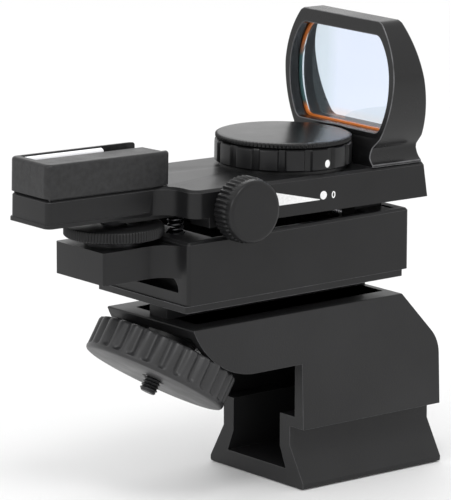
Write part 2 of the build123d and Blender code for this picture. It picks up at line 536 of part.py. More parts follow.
def azimuth_screw():
    return rod((SIDE_KNOB_X, SIDE_KNOB_FACE + 1.8, SIDE_KNOB_Z), (0, 1, 0), SIDE_SCREW_RADIUS, 34.0)


def azimuth_spacer():
    length = -BODY_HALF - SIDE_KNOB_BACK - SHAFT_GAP
    return tube((SIDE_KNOB_X, -BODY_HALF, SIDE_KNOB_Z), (0, -1, 0), 4.0, SIDE_SCREW_RADIUS + SHAFT_GAP, length)


def azimuth_clip():
    """Ring on the windage screw, just inside the body's wall."""
    return tube((SIDE_KNOB_X, -12.9, SIDE_KNOB_Z), (0, 1, 0), 2.2, SIDE_SCREW_RADIUS, 0.7)


# ------------------------------------------------------------ brightness dial
def dial_base():
    """The fixed flange under the dial, with the post that the dial turns on."""
    base = rod((DIAL_X, 0, BODY_TOP), (0, 0, 1), 13.9, 0.65)
    base += rod((DIAL_X, 0, BODY_TOP - 2.0), (0, 0, 1), 4.0, 2.0)
    return base + rod((DIAL_X, 0, BODY_TOP), (0, 0, 1), 4.5, 2.0)


def brightness_dial():
    dial = rod((DIAL_X, 0, DIAL_LOW), (0, 0, 1), DIAL_RADIUS, DIAL_TOP - DIAL_LOW)
    dial = chamfer(dial.edges().filter_by(GeomType.CIRCLE), 0.4)
    notch = Pos(DIAL_X + DIAL_RADIUS + 0.55, 0, DIAL_LOW) * Cylinder(1.0, 20)
    axis = Axis((DIAL_X, 0, 0), (0, 0, 1))
    for i in range(DIAL_LOBES):
        dial -= notch.rotate(axis, -85.5 + 360 * i / DIAL_LOBES)
    dial -= rod((DIAL_X, 0, 70.0), (0, 0, 1), 12.0, 10)
    dial -= rod((DIAL_X, 0, 60), (0, 0, 1), 4.5 + SHAFT_GAP, 20)
    dial -= tube((DIAL_X, 0, DIAL_TOP - 0.85), (0, 0, 1), 13.6, 12.6, 2)
    return dial


def contact_disc():
    """Spring contact between the dial and the underside of the cell."""
    ring = tube((DIAL_X, 0, 70.05), (0, 0, 1), 8.0, 1.5, 0.2)
    return ring - block(DIAL_X + 1, DIAL_X + 9, -1.0, 1.0, 69, 71)


def coin_cell():
    cell = rod((DIAL_X, 0, CELL_LOW), (0, 0, 1), CELL_RADIUS, CELL_HEIGHT)
    return fillet(cell.edges().filter_by(GeomType.CIRCLE), 0.3)


def cap_seal():
    ring = Pos(DIAL_X, 0, DIAL_TOP - 0.35) * Torus(13.1, 0.43)
    return ring


def cell_cap():
    cap = rod((DIAL_X, 0, CAP_LOW), (0, 0, 1), CAP_RADIUS, CAP_TOP - CAP_LOW)
    cap = chamfer(cap.edges().filter_by(GeomType.CIRCLE).sort_by(Axis.Z)[-1:], 0.25)
    return cap + tube((DIAL_X, 0, 71.5), (0, 0, 1), 11.9, 10.6, CAP_LOW - 71.5)


# ------------------------------------------------------------------ write out
FIXED_PARTS = [
    dovetail_foot, riser_rail, base_plate, bracket_block, rail_screws, block_screws, hinge_pin,
    return_springs, clamp_stud, clamp_washer, clamp_knob, clamp_insert, elevation_wheel,
    wheel_washer, wheel_clip]
TIPPED_PARTS = [
    tilt_carriage, elevation_screw, azimuth_pin, azimuth_post, post_screws, sight_body,
    hood_screws, pivot_clip, emitter_cover, cover_screws, emitter_window, led_emitter, led_board,
    led_lead, lens_hood, reflex_lens, lens_gasket, azimuth_knob, azimuth_screw, azimuth_spacer,
    azimuth_clip, dial_base, brightness_dial, contact_disc, coin_cell, cap_seal, cell_cap]

os.makedirs("parts", exist_ok=True)
for make in FIXED_PARTS:
    export_step(make(), f"parts/{make.__name__}.step")
for make in TIPPED_PARTS:
    export_step(tipped(make()), f"parts/{make.__name__}.step")
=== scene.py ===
"""Red dot finder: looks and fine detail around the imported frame, in metres."""
import json
import math

import bmesh
import bpy
from mathutils import Matrix, Vector


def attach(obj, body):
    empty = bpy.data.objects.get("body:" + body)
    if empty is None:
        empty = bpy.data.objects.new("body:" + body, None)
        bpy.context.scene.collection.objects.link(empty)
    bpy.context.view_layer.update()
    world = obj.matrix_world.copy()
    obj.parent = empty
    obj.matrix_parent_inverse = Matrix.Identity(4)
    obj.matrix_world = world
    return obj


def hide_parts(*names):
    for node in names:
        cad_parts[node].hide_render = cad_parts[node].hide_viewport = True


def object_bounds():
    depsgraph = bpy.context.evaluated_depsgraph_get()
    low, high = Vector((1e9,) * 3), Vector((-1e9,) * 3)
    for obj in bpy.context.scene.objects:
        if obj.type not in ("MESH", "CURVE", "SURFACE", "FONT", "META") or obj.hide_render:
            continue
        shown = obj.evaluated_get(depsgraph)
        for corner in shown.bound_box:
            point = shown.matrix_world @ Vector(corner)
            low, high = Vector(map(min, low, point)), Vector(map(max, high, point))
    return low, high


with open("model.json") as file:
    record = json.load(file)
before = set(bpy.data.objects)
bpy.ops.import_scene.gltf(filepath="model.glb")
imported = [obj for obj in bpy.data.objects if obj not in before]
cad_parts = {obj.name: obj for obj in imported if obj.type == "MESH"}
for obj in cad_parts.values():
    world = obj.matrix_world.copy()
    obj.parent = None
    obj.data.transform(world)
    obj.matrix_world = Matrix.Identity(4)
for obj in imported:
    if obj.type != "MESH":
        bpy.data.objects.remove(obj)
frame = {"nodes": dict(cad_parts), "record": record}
CAD_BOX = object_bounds()
NODES = frame["nodes"]
SLOTS = {part["node"]: part["material_slot"] for part in frame["record"]["subparts"]}
BODY_OF = {node: body for body, nodes in frame["record"]["behaviour"]["bodies"].items() for node in nodes}
JOINT_ROWS = {joint["name"]: joint for joint in frame["record"]["behaviour"]["joints"]}

MM = 0.001
WELD = 1e-7

# The camera's bearing, height angle and roll, then its distance and shifts from the origin in metres.
VIEW_YAW, VIEW_PITCH, VIEW_ROLL = math.radians(51.25), math.radians(12.27), math.radians(0.145)
VIEW_DISTANCE, VIEW_RIGHT, VIEW_UP = 0.9355, 0.02231, 0.04646
LENS_MM, SENSOR_MM = 304.5, 36

# Where the painted reflections change colour on the lens film and on its seal, in the object's own metres.
FILM_SILL_Z, FILM_DARK_Y = (0.0785, 0.0772), (0.004, 0.008)
SEAL_SILL_Z, SEAL_CROWN_Z = (0.0768, 0.0782), (0.088, 0.092)

# From here to the materials, sizes are in mm.
# Turned pieces have radii, and heights along the joint's axis from the joint's point. DEEP is how deep
# the flutes, teeth, notches and ribs are cut.
CLAMP_RADIUS, CLAMP_THICK, CLAMP_SKIRT, CLAMP_FACE_EDGE = 16.0, 6.7, 0.9, 0.75
CLAMP_FLUTES, CLAMP_FLUTE_DEEP, CLAMP_FLUTE_END = 28, 0.85, -0.95
CLAMP_BORE, CLAMP_BOSS, CLAMP_BOSS_RING, CLAMP_WALL = 2.3, 6.4, 6.9, 13.2
CLAMP_HOLLOW, CLAMP_INSERT_SEAT = 3.0, 5.0
STUD_RADIUS, STUD_OUT, STUD_PITCH, STUD_INNER, STUD_THREAD = 2.0, 3.1, 0.7, -12.2, -4.0
STUD_THREAD_DEEP, STUD_STEPS_A_TURN, STUD_TIP = 0.42, 10, 0.45
WHEEL_RADIUS, WHEEL_TOP, WHEEL_UNDER, WHEEL_TEETH, WHEEL_TOOTH_DEEP = 10.6, 1.2, -1.3, 96, 0.26
WHEEL_THREAD, WHEEL_BORE, WHEEL_HUB, WHEEL_HUB_END = 2.88, 3.2, 4.5, -8.7
WHEEL_COLLAR, WHEEL_COLLAR_END = 6.5, -2.0
DIAL_RADIUS, DIAL_TOP, DIAL_UNDER, DIAL_FLOOR, DIAL_BORE, DIAL_WELL = 14.9, 3.64, -1.2, 0.0, 4.6, 12.0
DIAL_GROOVE_IN, DIAL_GROOVE_OUT, DIAL_GROOVE_FLOOR = 12.55, 13.65, 2.85
DIAL_LOBES, DIAL_PHASE, DIAL_NOTCH_DEEP, DIAL_NOTCH_HALF = 16, math.radians(-85.5), 0.55, 0.055
CAP_RADIUS, CAP_TOP, CAP_LID, CAP_UNDER, CAP_TEETH, CAP_TOOTH_DEEP = 14.66, 5.0, 4.2, 3.77, 104, 0.32
CAP_SKIRT_IN, CAP_SKIRT_OUT, CAP_SKIRT_END = 10.7, 11.8, 1.5
SIDE_KNOB_RADIUS, SIDE_KNOB_BACK, SIDE_KNOB_FACE = 6.9, -2.8, 2.9
SIDE_KNOB_BORE, SIDE_KNOB_BORE_END, SIDE_KNOB_RIBS, SIDE_KNOB_RIB_DEEP = 1.65, 1.1, 40, 0.4
DOT_ANGLE, DOT_HEIGHT, DOT_HALF_WIDE, DOT_HALF_TALL, DOT_PROUD = math.radians(-90), 0.3, 0.68, 0.88, 0.14
DOT_SUNK, DOT_POINTS = 0.05, 32

# How wide each CAD node's arrises are rounded. The rounded strips get a lighter black, a painted highlight
# along the edges.
SOFTENED = {
    "dovetail_foot": 0.25, "bracket_block": 0.22, "base_plate": 0.2, "sight_body": 0.2, "lens_hood": 0.3,
    "riser_rail": 0.2}

# The upper half is laid out level and then tipped about the hinge by REST_TILT, like the CAD model.
HINGE = Vector(JOINT_ROWS["sight_tilt"]["pos_m"]) / MM
REST_TILT = math.radians(1.2)
TIP = Matrix.Rotation(REST_TILT, 3, "Y")

# Printed marks on the body's right side.
PRINT_FACE, PRINT_THICK = -15.0, 0.03
WEDGE = [(-31.2, 62.6), (-15.2, 62.68), (-15.2, 62.82), (-31.2, 66.3)]
PRINT_DOT, PRINT_DOT_RADIUS = (-14.2, 63.6), 0.92
NUMERAL, NUMERAL_HALF_WIDE, NUMERAL_HALF_TALL, NUMERAL_STROKE = (-11.4, 63.45), 0.5, 0.76, 0.27

# The film on the glass, and the pad and the white bar in the emitter box's tray; the bar's white is a painted
# highlight for the bright reflection along the far wall.
FILM_GAP, FILM_THICK = 0.01, 0.04
TRAY_REAR, TRAY_FRONT, TRAY_HALF, TRAY_BOTTOM = -79.25, -49.3, 5.65, 73.0
PAD_FAR, PAD_TOP_NEAR, PAD_TOP_FAR, PAD_EDGE = 3.5, 74.95, 74.7, 0.45
BAR_FRONT, BAR_FOOT, BAR_TOP, BAR_NEAR, BAR_ARCH, BAR_GAP = -59.0, 73.3, 75.25, 3.65, 0.7, 0.05
BAR_STEPS = 12


# ------------------------------------------------------------------ materials
class Look:
    """A Principled material whose colour, roughness and bump come from noise."""

    def __init__(self, name, base, rough, **sockets):
        self.material = bpy.data.materials.new(name)
        self.material.use_nodes = True
        self.tree = self.material.node_tree
        self.shader = self.tree.nodes["Principled BSDF"]
        self.shader.inputs["Base Color"].default_value = (*base, 1)
        self.shader.inputs["Roughness"].default_value = rough
        for socket, value in sockets.items():
            self.shader.inputs[socket.replace("_", " ")].default_value = value
        self.where = self.add("ShaderNodeTexCoord").outputs["Object"]
        self.colour = None
        self.normal = None

    def add(self, kind, **values):
        """A new shader node, with sockets and properties set by name."""
        node = self.tree.nodes.new(kind)
        for name, value in values.items():
            if name in node.inputs:
                node.inputs[name].default_value = value
            else:
                setattr(node, name, value)
        return node

    def link(self, a, b):
        self.tree.links.new(a, b)

    def noise(self, scale, detail=3.0, stretch=(1, 1, 1), roughness=0.55):
        mapping = self.add("ShaderNodeMapping")
        mapping.inputs["Scale"].default_value = stretch
        self.link(self.where, mapping.inputs["Vector"])
        noise = self.add("ShaderNodeTexNoise", Scale=scale, Detail=detail, Roughness=roughness)
        self.link(mapping.outputs["Vector"], noise.inputs["Vector"])
        return noise.outputs["Fac"]

    def ramp(self, value, low, high, start, end):
        """value spread from [low, high] to [start, end]."""
        node = self.add("ShaderNodeMapRange")
        self.link(value, node.inputs["Value"])
        for socket, number in zip(("From Min", "From Max", "To Min", "To Max"), (low, high, start, end)):
            node.inputs[socket].default_value = number
        return node.outputs["Result"]

    def vary_rough(self, scale, low, high, stretch=(1, 1, 1)):
        """Roughness that wanders between low and high."""
        spread = self.ramp(self.noise(scale, 4.0, stretch), 0.3, 0.7, low, high)
        self.link(spread, self.shader.inputs["Roughness"])
        return self

    def mix(self, factor, a, b):
        """Colour a where factor is 0 and colour b where it is 1. a is a colour or an output socket."""
        node = self.add("ShaderNodeMix", data_type="RGBA")
        factor_in, a_in, b_in = node.inputs[0], node.inputs[6], node.inputs[7]
        if isinstance(a, tuple):
            a_in.default_value = (*a, 1)
        else:
            self.link(a, a_in)
        b_in.default_value = (*b, 1)
        self.link(factor, factor_in)
        return node.outputs[2]

    def paint(self, colour):
        """Make an output socket the surface's colour."""
        self.colour = colour
        self.link(colour, self.shader.inputs["Base Color"])
        return self

    def place(self):
        """The object's own X, Y and Z, in metres."""
        split = self.add("ShaderNodeSeparateXYZ")
        self.link(self.where, split.inputs[0])
        return split.outputs

    def vary_colour(self, scale, a, b, stretch=(1, 1, 1)):
        """A surface colour that wanders between a and b."""
        return self.paint(self.mix(self.ramp(self.noise(scale, 5.0, stretch), 0.35, 0.65, 0, 1), a, b))

    def worn_edges(self, worn, low=0.56, high=0.66, amount=0.6):
        """Lighter, polished arrises where the surface is sharply convex."""
        pointy = self.add("ShaderNodeNewGeometry").outputs["Pointiness"]
        edge = self.ramp(pointy, low, high, 0, amount)
        patch = self.ramp(self.noise(420.0, 3.0), 0.42, 0.62, 0, 1)
        both = self.add("ShaderNodeMath", operation="MULTIPLY")
        self.link(edge, both.inputs[0])
        self.link(patch, both.inputs[1])
        return self.paint(self.mix(both.outputs[0], self.colour, worn))

    def bump(self, scale, distance, detail=2.0, stretch=(1, 1, 1), strength=1.0):
        """A fine relief of that height in metres, on top of any earlier one."""
        node = self.add("ShaderNodeBump", Strength=strength, Distance=distance)
        self.link(self.noise(scale, detail, stretch), node.inputs["Height"])
        if self.normal:
            self.link(self.normal, node.inputs["Normal"])
        self.normal = node.outputs["Normal"]
        self.link(self.normal, self.shader.inputs["Normal"])
        return self


def black(value):
    """A dark grey with a trace of blue."""
    return (value, value, value * 1.05)


def lens_coating():
    """A thin dichroic film, pale lilac over most of the glass; its amber at the sill and its dark at the left
    are painted reflections.
    """
    look = Look("lens_coating", (0.7, 0.6, 1.0), 0.02, Metallic=1.0, Alpha=0.08)
    place = look.place()
    look.vary_colour(60, (0.68, 0.58, 1.0), (0.72, 0.62, 1.0))
    # Masks for the painted reflections: amber along the sill, dark over the left.
    sill, left = look.ramp(place["Z"], *FILM_SILL_Z, 0, 1), look.ramp(place["Y"], *FILM_DARK_Y, 0, 1)
    look.paint(look.mix(sill, look.colour, (1.0, 0.28, 0.03)))
    look.paint(look.mix(left, look.colour, (0.03, 0.08, 0.1)))
    return look.vary_rough(200, 0.01, 0.03).bump(20, 0.000005, 1)


def seal_painted_reflection():
    """The glass's seal, coloured with painted reflections of the coating: amber at sill and crown, dark teal
    between.
    """
    teal, amber = (0.05, 0.12, 0.12), (0.75, 0.2, 0.03)
    # The seal's amber and teal are painted reflections, not a coating on the seal.
    look = Look("seal_painted_reflection", teal, 0.3, Metallic=0.3)
    height = look.place()["Z"]
    either = look.add("ShaderNodeMath", operation="MAXIMUM")
    look.link(look.ramp(height, *SEAL_SILL_Z, 1, 0), either.inputs[0])
    look.link(look.ramp(height, *SEAL_CROWN_Z, 0, 1), either.inputs[1])
    look.paint(look.mix(either.outputs[0], teal, amber))
    return look.vary_rough(300, 0.25, 0.4).bump(900, 0.00001, 2)


def make_looks():
    """Every material by name: the record's slots, and a few looks for single nodes and details."""
    looks = {
        "moulding": Look("moulding", black(0.012), 0.42, IOR=1.37)
        .vary_colour(60, black(0.012), black(0.015))
        .vary_rough(90, 0.4, 0.44).bump(2600, 0.00003, 2),
        "anodised": Look("anodised", black(0.009), 0.32, IOR=1.34)
        .vary_colour(80, black(0.0085), black(0.0105))
        .vary_rough(120, 0.31, 0.34).bump(3400, 0.00001, 2),
        "anodised_hood": Look("anodised_hood", black(0.006), 0.26, IOR=1.42)
        .vary_colour(80, black(0.0055), black(0.0065))
        .vary_rough(140, 0.24, 0.28).bump(3000, 0.00001, 2),
        # A lighter black for the bevelled arrises: a painted edge highlight.
        "edge_highlight_paint": Look("edge_highlight_paint", black(0.08), 0.3, IOR=1.55)
        .vary_colour(420, black(0.055), black(0.11)).vary_rough(500, 0.26, 0.36).bump(2600, 0.00001, 2),
        "rubber_cover": Look("rubber_cover", black(0.013), 0.4, IOR=1.42)
        .vary_colour(900, black(0.009), black(0.018))
        .vary_rough(200, 0.34, 0.46).bump(3200, 0.00004, 3),
        "knob_black": Look("knob_black", black(0.022), 0.4, IOR=1.45)
        .vary_colour(90, black(0.02), black(0.025)).worn_edges(black(0.04))
        .vary_rough(160, 0.34, 0.46).bump(1800, 0.00002, 2),
        "cap_gloss": Look("cap_gloss", black(0.006), 0.24, IOR=1.36)
        .vary_colour(90, black(0.005), black(0.007)).vary_rough(160, 0.22, 0.27).bump(1800, 0.000005, 2),
        "dark_steel": Look("dark_steel", black(0.03), 0.35, Metallic=0.7)
        .vary_colour(500, black(0.02), black(0.05)).vary_rough(600, 0.28, 0.45).bump(2400, 0.00001, 2),
        "spring_dark": Look("spring_dark", black(0.12), 0.3, Metallic=1.0)
        .vary_colour(700, black(0.09), black(0.15)).vary_rough(700, 0.22, 0.38).bump(2000, 0.00001, 2),
        "spring_steel": Look("spring_steel", (0.5, 0.5, 0.52), 0.25, Metallic=1.0)
        .vary_colour(700, (0.42, 0.42, 0.44), (0.58, 0.58, 0.6)).vary_rough(700, 0.18, 0.34)
        .bump(2000, 0.00001, 2),
        "brass": Look("brass", (0.72, 0.52, 0.24), 0.3, Metallic=1.0)
        .vary_colour(400, (0.62, 0.43, 0.18), (0.78, 0.58, 0.28)).vary_rough(600, 0.22, 0.4)
        .bump(1500, 0.00001, 2),
        "seal_rubber": Look("seal_rubber", black(0.01), 0.5)
        .vary_colour(400, black(0.007), black(0.013)).vary_rough(400, 0.45, 0.6).bump(1200, 0.00002, 2),
        "led_red": Look("led_red", (0.6, 0.03, 0.02), 0.12, Coat_Weight=0.5)
        .vary_colour(600, (0.5, 0.02, 0.015), (0.7, 0.05, 0.03)).vary_rough(500, 0.08, 0.2)
        .bump(500, 0.00001, 2),
        "board_green": Look("board_green", (0.03, 0.16, 0.07), 0.4)
        .vary_colour(900, (0.02, 0.13, 0.05), (0.05, 0.2, 0.09)).vary_rough(500, 0.3, 0.5)
        .bump(900, 0.00001, 2),
        "wire_red": Look("wire_red", (0.5, 0.03, 0.03), 0.4)
        .vary_colour(300, (0.42, 0.02, 0.02), (0.55, 0.05, 0.04)).vary_rough(500, 0.35, 0.5)
        .bump(900, 0.00001, 2),
        "cell_steel": Look("cell_steel", (0.7, 0.7, 0.72), 0.22, Metallic=1.0)
        .vary_colour(300, (0.62, 0.62, 0.64), (0.76, 0.76, 0.78)).vary_rough(500, 0.15, 0.3, (1, 8, 1))
        .bump(900, 0.00001, 2),
        "lens_glass": Look("lens_glass", (0.81, 0.91, 1.0), 0.01, Transmission_Weight=1.0, IOR=1.3)
        .vary_colour(60, (0.8, 0.905, 1.0), (0.82, 0.915, 1.0)).vary_rough(200, 0.0, 0.02)
        .bump(20, 0.00001, 1),
        "lens_coating": lens_coating(),
        "seal_painted_reflection": seal_painted_reflection(),
        # Near white and opaque: a painted highlight for the bright reflection along the tray's far wall.
        "clear_window": Look("clear_window", (0.88, 0.88, 0.9), 0.08, Coat_Weight=1.0)
        .vary_colour(200, (0.84, 0.84, 0.87), (0.92, 0.92, 0.94)).vary_rough(300, 0.05, 0.16)
        .bump(300, 0.00001, 2),
        "print_white": Look("print_white", (0.85, 0.85, 0.85), 0.45)
        .vary_colour(2500, (0.78, 0.78, 0.78), (0.9, 0.9, 0.9)).vary_rough(900, 0.4, 0.55)
        .bump(2500, 0.00001, 2),
    }
    return {name: look.material for name, look in looks.items()}


LOOKS = make_looks()
SPECIAL_LOOKS = {
    "lens_hood": "anodised_hood", "return_springs": "spring_dark", "lens_gasket": "seal_painted_reflection"}


def look_of(node):
    """The material that a CAD node gets."""
    return LOOKS[SPECIAL_LOOKS.get(node, SLOTS[node])]


def dress_nodes():
    """Every CAD node gets the look of its material slot."""
    for name, node in NODES.items():
        node.data.materials.clear()
        node.data.materials.append(look_of(name))


# ------------------------------------------------------------- detail pieces
def add_piece(name, mesh, body, look, stands_for=()):
    """A new piece that rides on a body, with the look given by name and the CAD nodes that it stands for."""
    piece = bpy.data.objects.new(name, mesh)
    bpy.context.scene.collection.objects.link(piece)
    mesh.materials.clear()
    mesh.materials.append(LOOKS[look])
    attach(piece, body)
    if stands_for:
        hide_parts(*stands_for)
    return piece


def smooth(mesh, angle=32):
    """Smooth shading, with edges sharper than the angle kept crisp."""
    for polygon in mesh.polygons:
        polygon.use_smooth = True
    mesh.set_sharp_from_angle(angle=math.radians(angle))


def mesh_from(name, verts, faces, weld=False):
    """A mesh with its faces turned outward, and its doubled points welded if asked."""
    mesh = bpy.data.meshes.new(name)
    mesh.from_pydata(verts, [], faces)
    sheet = bmesh.new()
    sheet.from_mesh(mesh)
    if weld:
        bmesh.ops.remove_doubles(sheet, verts=sheet.verts, dist=WELD)
    bmesh.ops.recalc_face_normals(sheet, faces=sheet.faces)
    sheet.to_mesh(mesh)
    sheet.free()
    return mesh


def node_sheet(node):
    """A welded bmesh copy of a CAD node."""
    sheet = bmesh.new()
    sheet.from_mesh(NODES[node].data)
    bmesh.ops.remove_doubles(sheet, verts=sheet.verts, dist=WELD)
    return sheet


def soften(node, width):
    """A copy of a CAD node with its arrises rounded, so that they catch the light; the rounded strips are
    also coloured lighter as a painted edge highlight.
    """
    sheet = node_sheet(node)
    bmesh.ops.dissolve_limit(sheet, angle_limit=math.radians(0.4), verts=sheet.verts, edges=sheet.edges)
    mesh = bpy.data.meshes.new(node + "_soft")
    sheet.to_mesh(mesh)
    sheet.free()
    look = SPECIAL_LOOKS.get(node, SLOTS[node])
    piece = add_piece(node + "_soft", mesh, BODY_OF[node], look, (node,))
    # The second material is the painted edge highlight for the bevel's faces.
    mesh.materials.append(LOOKS["edge_highlight_paint"])
    smooth(mesh)
    bevel = piece.modifiers.new("bevel", "BEVEL")
    bevel.material, bevel.width, bevel.segments = 1, width * MM, 2
    bevel.limit_method, bevel.angle_limit = "ANGLE", math.radians(40)
    bevel.use_clamp_overlap, bevel.harden_normals = True, True
    bevel.miter_outer = "MITER_ARC"


def joint_frame(name, up_sign=1.0):
    """A joint's point and three directions: two across its axis, then the axis itself."""
    joint = JOINT_ROWS[name]
    axis = (Vector(joint["axis"]) * up_sign).normalized()
    across = Vector((0, 1, 0)) if abs(axis.y) < 0.5 else Vector((1, 0, 0))
    side = across.cross(axis).normalized()
    return Vector(joint["pos_m"]), side, axis.cross(side).normalized(), axis


def turned_mesh(name, place, profile, count, pattern):
    """A closed turned solid. Its profile rows are (radius, height, cut) in mm: either a loop round the
    section, or a line from axis to axis. pattern(angle, height) says how much of a row's cut is taken."""
    origin, side, other, axis = place
    verts, faces = [], []
    rows = len(profile)
    for radius, height, cut in profile:
        for i in range(count):
            angle = 2 * math.pi * i / count
            reach = radius - (cut * pattern(angle, height) if cut else 0)
            spoke = side * math.cos(angle) + other * math.sin(angle)
            verts.append(origin + (axis * height + spoke * reach) * MM)
    loop = profile[0][0] > 0 and profile[-1][0] > 0
    last = rows if loop else rows - 1
    for row in range(last):
        for i in range(count):
            j = (i + 1) % count
            a, b = row * count, ((row + 1) % rows) * count
            faces.append((a + i, a + j, b + j, b + i))
    mesh = mesh_from(name, verts, faces, weld=True)
    smooth(mesh)
    return mesh


def waves(teeth, sharpness=1.0):
    """Evenly spaced grooves, rounded; a larger sharpness makes narrow grooves and broad lands."""
    def cut(angle, height):
        return (0.5 + 0.5 * math.cos(teeth * angle)) ** sharpness
    return cut


def notches(teeth, half_width, phase):
    """Flat-bottomed grooves with sloping sides. half_width and phase are in radians."""
    def cut(angle, height):
        pitch = 2 * math.pi / teeth
        off = abs((angle - phase + pitch / 2) % pitch - pitch / 2) / half_width
        step = min(max((1.25 - off) / 0.5, 0.0), 1.0)
        return step * step * (3 - 2 * step)
    return cut


def thread(pitch):
    """A helical groove with straight flanks."""
    def cut(angle, height):
        turn = (angle / (2 * math.pi) - height / pitch) % 1.0
        return abs(2 * turn - 1)
    return cut


def make_clamp():
    """The scalloped knob, with its flat outer face, and the threaded stud through it."""
    place = joint_frame("clamp_turn")
    low, edge, groove = -CLAMP_THICK, CLAMP_FACE_EDGE, CLAMP_FLUTE_DEEP
    back, seat, hollow = low - CLAMP_SKIRT, low + CLAMP_INSERT_SEAT, low + CLAMP_HOLLOW
    profile = [
        (CLAMP_BORE, seat, 0), (CLAMP_BOSS, seat, 0), (CLAMP_BOSS, low, 0), (CLAMP_BOSS_RING, low, 0),
        (CLAMP_BOSS_RING, hollow, 0), (CLAMP_WALL, hollow, 0), (CLAMP_WALL, back, 0),
        (CLAMP_RADIUS - 0.9, back, groove * 0.5), (CLAMP_RADIUS - 0.25, back + 0.3, groove),
        (CLAMP_RADIUS, back + 0.9, groove), (CLAMP_RADIUS, -2.1, groove),
        (CLAMP_RADIUS, -1.6, groove * 0.8), (CLAMP_RADIUS, -1.2, groove * 0.35),
        (CLAMP_RADIUS, CLAMP_FLUTE_END, 0), (CLAMP_RADIUS, -edge, 0), (CLAMP_RADIUS - 0.08, -0.42, 0),
        (CLAMP_RADIUS - 0.3, -0.16, 0), (CLAMP_RADIUS - edge, 0, 0),
        (CLAMP_BORE + 0.3, 0, 0), (CLAMP_BORE, -0.3, 0)]
    mesh = turned_mesh("clamp_grip", place, profile, CLAMP_FLUTES * 14, waves(CLAMP_FLUTES, 1.6))
    add_piece("clamp_grip", mesh, "clamp", "knob_black", ("clamp_knob",))
    rows = [(0, STUD_INNER, 0), (STUD_RADIUS, STUD_INNER, 0)]
    height = STUD_THREAD
    while height < STUD_OUT - STUD_TIP:
        rows.append((STUD_RADIUS, height, STUD_THREAD_DEEP))
        height += STUD_PITCH / STUD_STEPS_A_TURN
    tip = STUD_OUT - 0.02
    rows += [(STUD_RADIUS - 0.1, STUD_OUT - 0.4, 0.2), (STUD_RADIUS - 0.5, tip, 0), (0, tip, 0)]
    mesh = turned_mesh("clamp_thread", place, rows, 40, thread(STUD_PITCH))
    add_piece("clamp_thread", mesh, "root", "dark_steel", ("clamp_stud",))


def make_wheel():
    """The elevation wheel: finely knurled rim, collar and bored hub."""
    place = joint_frame("elevation_turn")
    under, top, tooth = WHEEL_UNDER, WHEEL_TOP, WHEEL_TOOTH_DEEP
    profile = [
        (WHEEL_THREAD, top, 0), (WHEEL_THREAD, under, 0), (WHEEL_BORE, under, 0),
        (WHEEL_BORE, WHEEL_HUB_END, 0), (WHEEL_HUB, WHEEL_HUB_END, 0), (WHEEL_HUB, WHEEL_COLLAR_END, 0),
        (WHEEL_COLLAR, WHEEL_COLLAR_END, 0), (WHEEL_COLLAR, under, 0), (WHEEL_RADIUS - 0.5, under, 0),
        (WHEEL_RADIUS - 0.15, under + 0.15, 0.1), (WHEEL_RADIUS + 0.05, under + 0.35, tooth),
        (WHEEL_RADIUS + 0.05, top - 0.35, tooth), (WHEEL_RADIUS - 0.15, top - 0.15, 0.1),
        (WHEEL_RADIUS - 0.5, top, 0)]
    mesh = turned_mesh("thumb_wheel", place, profile, WHEEL_TEETH * 6, waves(WHEEL_TEETH, 1.2))
    add_piece("thumb_wheel", mesh, "elevation", "anodised", ("elevation_wheel",))


def make_side_knob():
    """The windage knob: ribs on the inner part of its rim, then a smooth band and a flat face."""
    place = joint_frame("azimuth_turn", -1.0)
    back, face, rib = SIDE_KNOB_BACK, SIDE_KNOB_FACE, SIDE_KNOB_RIB_DEEP
    ribbed, smooth_band = SIDE_KNOB_RADIUS + 0.15, SIDE_KNOB_RADIUS - 0.2
    profile = [
        (SIDE_KNOB_BORE, back, 0), (ribbed - 0.9, back, 0), (ribbed - 0.3, back + 0.15, rib * 0.5),
        (ribbed, back + 0.45, rib), (ribbed, 0.55, rib), (ribbed - 0.2, 0.85, rib * 0.5),
        (smooth_band, 1.0, 0), (smooth_band, face - 0.75, 0), (smooth_band - 0.12, face - 0.38, 0),
        (smooth_band - 0.35, face - 0.13, 0), (smooth_band - 0.75, face - 0.01, 0),
        (smooth_band - 0.95, face, 0), (0.6, face, 0), (0, face, 0), (0, SIDE_KNOB_BORE_END, 0),
        (SIDE_KNOB_BORE, SIDE_KNOB_BORE_END, 0)]
    mesh = turned_mesh("windage_grip", place, profile, SIDE_KNOB_RIBS * 12, waves(SIDE_KNOB_RIBS, 1.0))
    add_piece("windage_grip", mesh, "azimuth", "anodised", ("azimuth_knob",))


def make_dial():
    """The lobed brightness dial with its index dot, and the cap above it."""
    place = joint_frame("dial_turn", -1.0)
    notch, top = DIAL_NOTCH_DEEP, DIAL_TOP
    profile = [
        (DIAL_BORE, DIAL_UNDER, 0), (DIAL_RADIUS - 1.0, DIAL_UNDER - 0.05, 0),
        (DIAL_RADIUS - 0.4, DIAL_UNDER, notch * 0.6),
        (DIAL_RADIUS, -0.85, notch), (DIAL_RADIUS, 3.0, notch), (DIAL_RADIUS - 0.1, 3.3, notch * 0.9),
        (DIAL_RADIUS - 0.35, 3.5, notch * 0.6), (DIAL_RADIUS - 0.9, 3.62, 0), (DIAL_GROOVE_OUT, top, 0),
        (DIAL_GROOVE_OUT, DIAL_GROOVE_FLOOR, 0), (DIAL_GROOVE_IN, DIAL_GROOVE_FLOOR, 0),
        (DIAL_GROOVE_IN, top, 0), (DIAL_WELL, top, 0), (DIAL_WELL, DIAL_FLOOR, 0), (DIAL_BORE, DIAL_FLOOR, 0)]
    lobes = notches(DIAL_LOBES, DIAL_NOTCH_HALF, DIAL_PHASE)
    mesh = turned_mesh("dial_grip", place, profile, DIAL_LOBES * 36, lobes)
    add_piece("dial_grip", mesh, "dial", "anodised", ("brightness_dial",))
    make_index_dot(place)
    make_cap(place)


